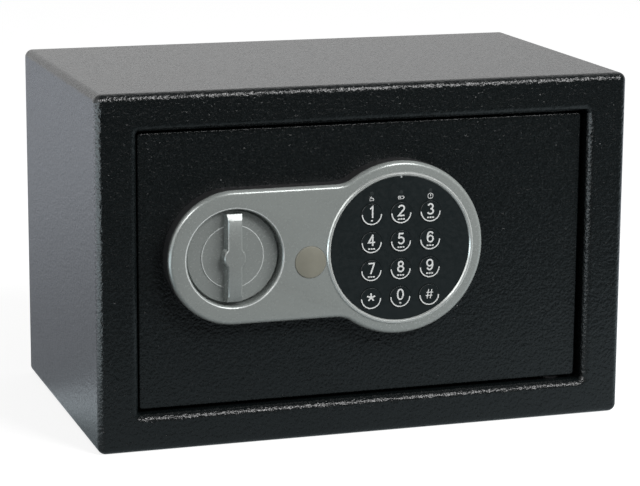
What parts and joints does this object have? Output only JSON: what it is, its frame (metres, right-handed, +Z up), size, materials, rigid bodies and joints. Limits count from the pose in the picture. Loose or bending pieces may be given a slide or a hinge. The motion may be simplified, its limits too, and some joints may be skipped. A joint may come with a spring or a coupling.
{
  "type": "electronic keypad home safe",
  "caption": "Small steel safe with a hinged recessed door, a silver lock panel with a turn knob and a round keypad, and sliding locking bolts.",
  "frame": {"origin": "centre of the underside of the case", "axes": "+X to the right seen from the front, along the case's width; +Y to the back, away from the door; +Z up"},
  "size_m": [0.31, 0.1921, 0.2],
  "materials": {
    "case_paint": "near-black powder coat with a fine orange-peel texture, semi-gloss",
    "cover_paint": "smooth black powder coat, satin",
    "bare_steel": "turned mild steel, satin",
    "black_steel": "black oxide screws",
    "zinc_plate": "bright zinc plate",
    "bolt_steel": "polished, nickel plated",
    "nickel": "bright nickel plate",
    "brass_plug": "turned brass",
    "spring_steel": "drawn wire",
    "copper_wire": "enamelled copper winding",
    "silver_plastic": "moulded plastic with a silver-grey metallic lacquer, satin",
    "rim_silver": "bright silver lacquer",
    "keypad_black": "printed black face, satin",
    "key_black": "black key with a white legend, satin",
    "lens": "smoked clear plastic",
    "cap_beige": "warm grey plastic, satin",
    "rubber": "moulded silicone rubber",
    "circuit_board": "green solder mask",
    "nylon": "white nylon",
    "black_plastic": "fine spark-eroded texture",
    "cell_wrap": "shrink sleeve, plain",
    "button_red": "gloss red plastic",
    "felt": "grey needle felt"
  },
  "bodies": {
    "case": {"body_shell": "case_paint", "rear_panel": "case_paint", "hinge_lugs": "bare_steel", "floor_mat": "felt"},
    "door": {"door_plate": "case_paint", "hinge_blocks": "bare_steel", "hinge_pins": "bare_steel", "hinge_washers": "black_plastic", "hinge_set_screws": "black_steel", "panel_housing": "silver_plastic", "panel_base": "black_plastic", "panel_screws": "zinc_plate", "keypad_ring": "rim_silver", "keypad_plate": "keypad_black", "status_lenses": "lens", "key_mat": "rubber", "keypad_board": "circuit_board", "spindle_bush": "nylon", "guide_posts": "bare_steel", "post_washers": "zinc_plate", "post_screws": "zinc_plate", "bolt_guide": "zinc_plate", "solenoid_frame": "zinc_plate", "solenoid_coil": "copper_wire", "lock_barrel": "nickel", "barrel_nut": "nickel", "inner_cover": "cover_paint", "cover_screws": "black_steel", "battery_tray": "black_plastic", "battery_cells": "cell_wrap", "battery_contacts": "nickel", "main_board": "circuit_board", "board_standoffs": "nylon"},
    "knob": {"knob": "silver_plastic", "knob_spindle": "bare_steel", "spindle_clip": "black_steel", "drive_crank": "zinc_plate", "crank_screw": "zinc_plate"},
    "bolt_work": {"bolt_carriage": "zinc_plate", "locking_bolts": "bolt_steel"},
    "plunger": {"solenoid_plunger": "bare_steel", "plunger_spring": "spring_steel"},
    "key_plug": {"lock_plug": "brass_plug", "plug_cam": "zinc_plate"},
    "cap": {"cover_cap": "cap_beige"},
    "battery_lid": {"battery_lid": "black_plastic"},
    "reset_button": {"reset_button": "button_red"},
    "key_1": {"key_1": "key_black"},
    "key_2": {"key_2": "key_black"},
    "key_3": {"key_3": "key_black"},
    "key_4": {"key_4": "key_black"},
    "key_5": {"key_5": "key_black"},
    "key_6": {"key_6": "key_black"},
    "key_7": {"key_7": "key_black"},
    "key_8": {"key_8": "key_black"},
    "key_9": {"key_9": "key_black"},
    "key_star": {"key_star": "key_black"},
    "key_0": {"key_0": "key_black"},
    "key_hash": {"key_hash": "key_black"}
  },
  "joints": [
    {"name": "door_hinge", "type": "hinge", "parent": "case", "child": "door", "pos_m": [0.1173, -0.0785, 0.1], "axis": [0, 0, 1], "range_deg": [0, 105]},
    {"name": "knob_turn", "type": "hinge", "parent": "door", "child": "knob", "pos_m": [-0.079, -0.0825, 0.10775], "axis": [0, 1, 0], "range_deg": [-80, 0]},
    {"name": "bolt_slide", "type": "slide", "parent": "door", "child": "bolt_work", "axis": [1, 0, 0], "range_m": [-0.01671, 0]},
    {"name": "plunger_lift", "type": "slide", "parent": "door", "child": "plunger", "axis": [0, 0, -1], "range_m": [-0.005, 0], "deforming": ["plunger_spring"]},
    {"name": "key_turn", "type": "hinge", "parent": "door", "child": "key_plug", "pos_m": [-0.0358, -0.0825, 0.103], "axis": [0, 1, 0], "range_deg": [0, 90]},
    {"name": "cap_pull", "type": "slide", "parent": "door", "child": "cap", "axis": [0, -1, 0], "range_m": [0, 0.03]},
    {"name": "lid_slide", "type": "slide", "parent": "door", "child": "battery_lid", "axis": [-1, 0, 0], "range_m": [0, 0.06]},
    {"name": "reset_press", "type": "slide", "parent": "door", "child": "reset_button", "axis": [0, -1, 0], "range_m": [0, 0.0015], "stiffness_N_per_m": 400},
    {"name": "key_1_press", "type": "slide", "parent": "door", "child": "key_1", "axis": [0, 1, 0], "range_m": [0, 0.0006], "stiffness_N_per_m": 600},
    {"name": "key_2_press", "type": "slide", "parent": "door", "child": "key_2", "axis": [0, 1, 0], "range_m": [0, 0.0006], "stiffness_N_per_m": 600},
    {"name": "key_3_press", "type": "slide", "parent": "door", "child": "key_3", "axis": [0, 1, 0], "range_m": [0, 0.0006], "stiffness_N_per_m": 600},
    {"name": "key_4_press", "type": "slide", "parent": "door", "child": "key_4", "axis": [0, 1, 0], "range_m": [0, 0.0006], "stiffness_N_per_m": 600},
    {"name": "key_5_press", "type": "slide", "parent": "door", "child": "key_5", "axis": [0, 1, 0], "range_m": [0, 0.0006], "stiffness_N_per_m": 600},
    {"name": "key_6_press", "type": "slide", "parent": "door", "child": "key_6", "axis": [0, 1, 0], "range_m": [0, 0.0006], "stiffness_N_per_m": 600},
    {"name": "key_7_press", "type": "slide", "parent": "door", "child": "key_7", "axis": [0, 1, 0], "range_m": [0, 0.0006], "stiffness_N_per_m": 600},
    {"name": "key_8_press", "type": "slide", "parent": "door", "child": "key_8", "axis": [0, 1, 0], "range_m": [0, 0.0006], "stiffness_N_per_m": 600},
    {"name": "key_9_press", "type": "slide", "parent": "door", "child": "key_9", "axis": [0, 1, 0], "range_m": [0, 0.0006], "stiffness_N_per_m": 600},
    {"name": "key_star_press", "type": "slide", "parent": "door", "child": "key_star", "axis": [0, 1, 0], "range_m": [0, 0.0006], "stiffness_N_per_m": 600},
    {"name": "key_0_press", "type": "slide", "parent": "door", "child": "key_0", "axis": [0, 1, 0], "range_m": [0, 0.0006], "stiffness_N_per_m": 600},
    {"name": "key_hash_press", "type": "slide", "parent": "door", "child": "key_hash", "axis": [0, 1, 0], "range_m": [0, 0.0006], "stiffness_N_per_m": 600}
  ],
  "couplings": [
    {"joint": "knob_turn", "follows": "bolt_slide", "rad_per_m": 83.546}
  ]
}
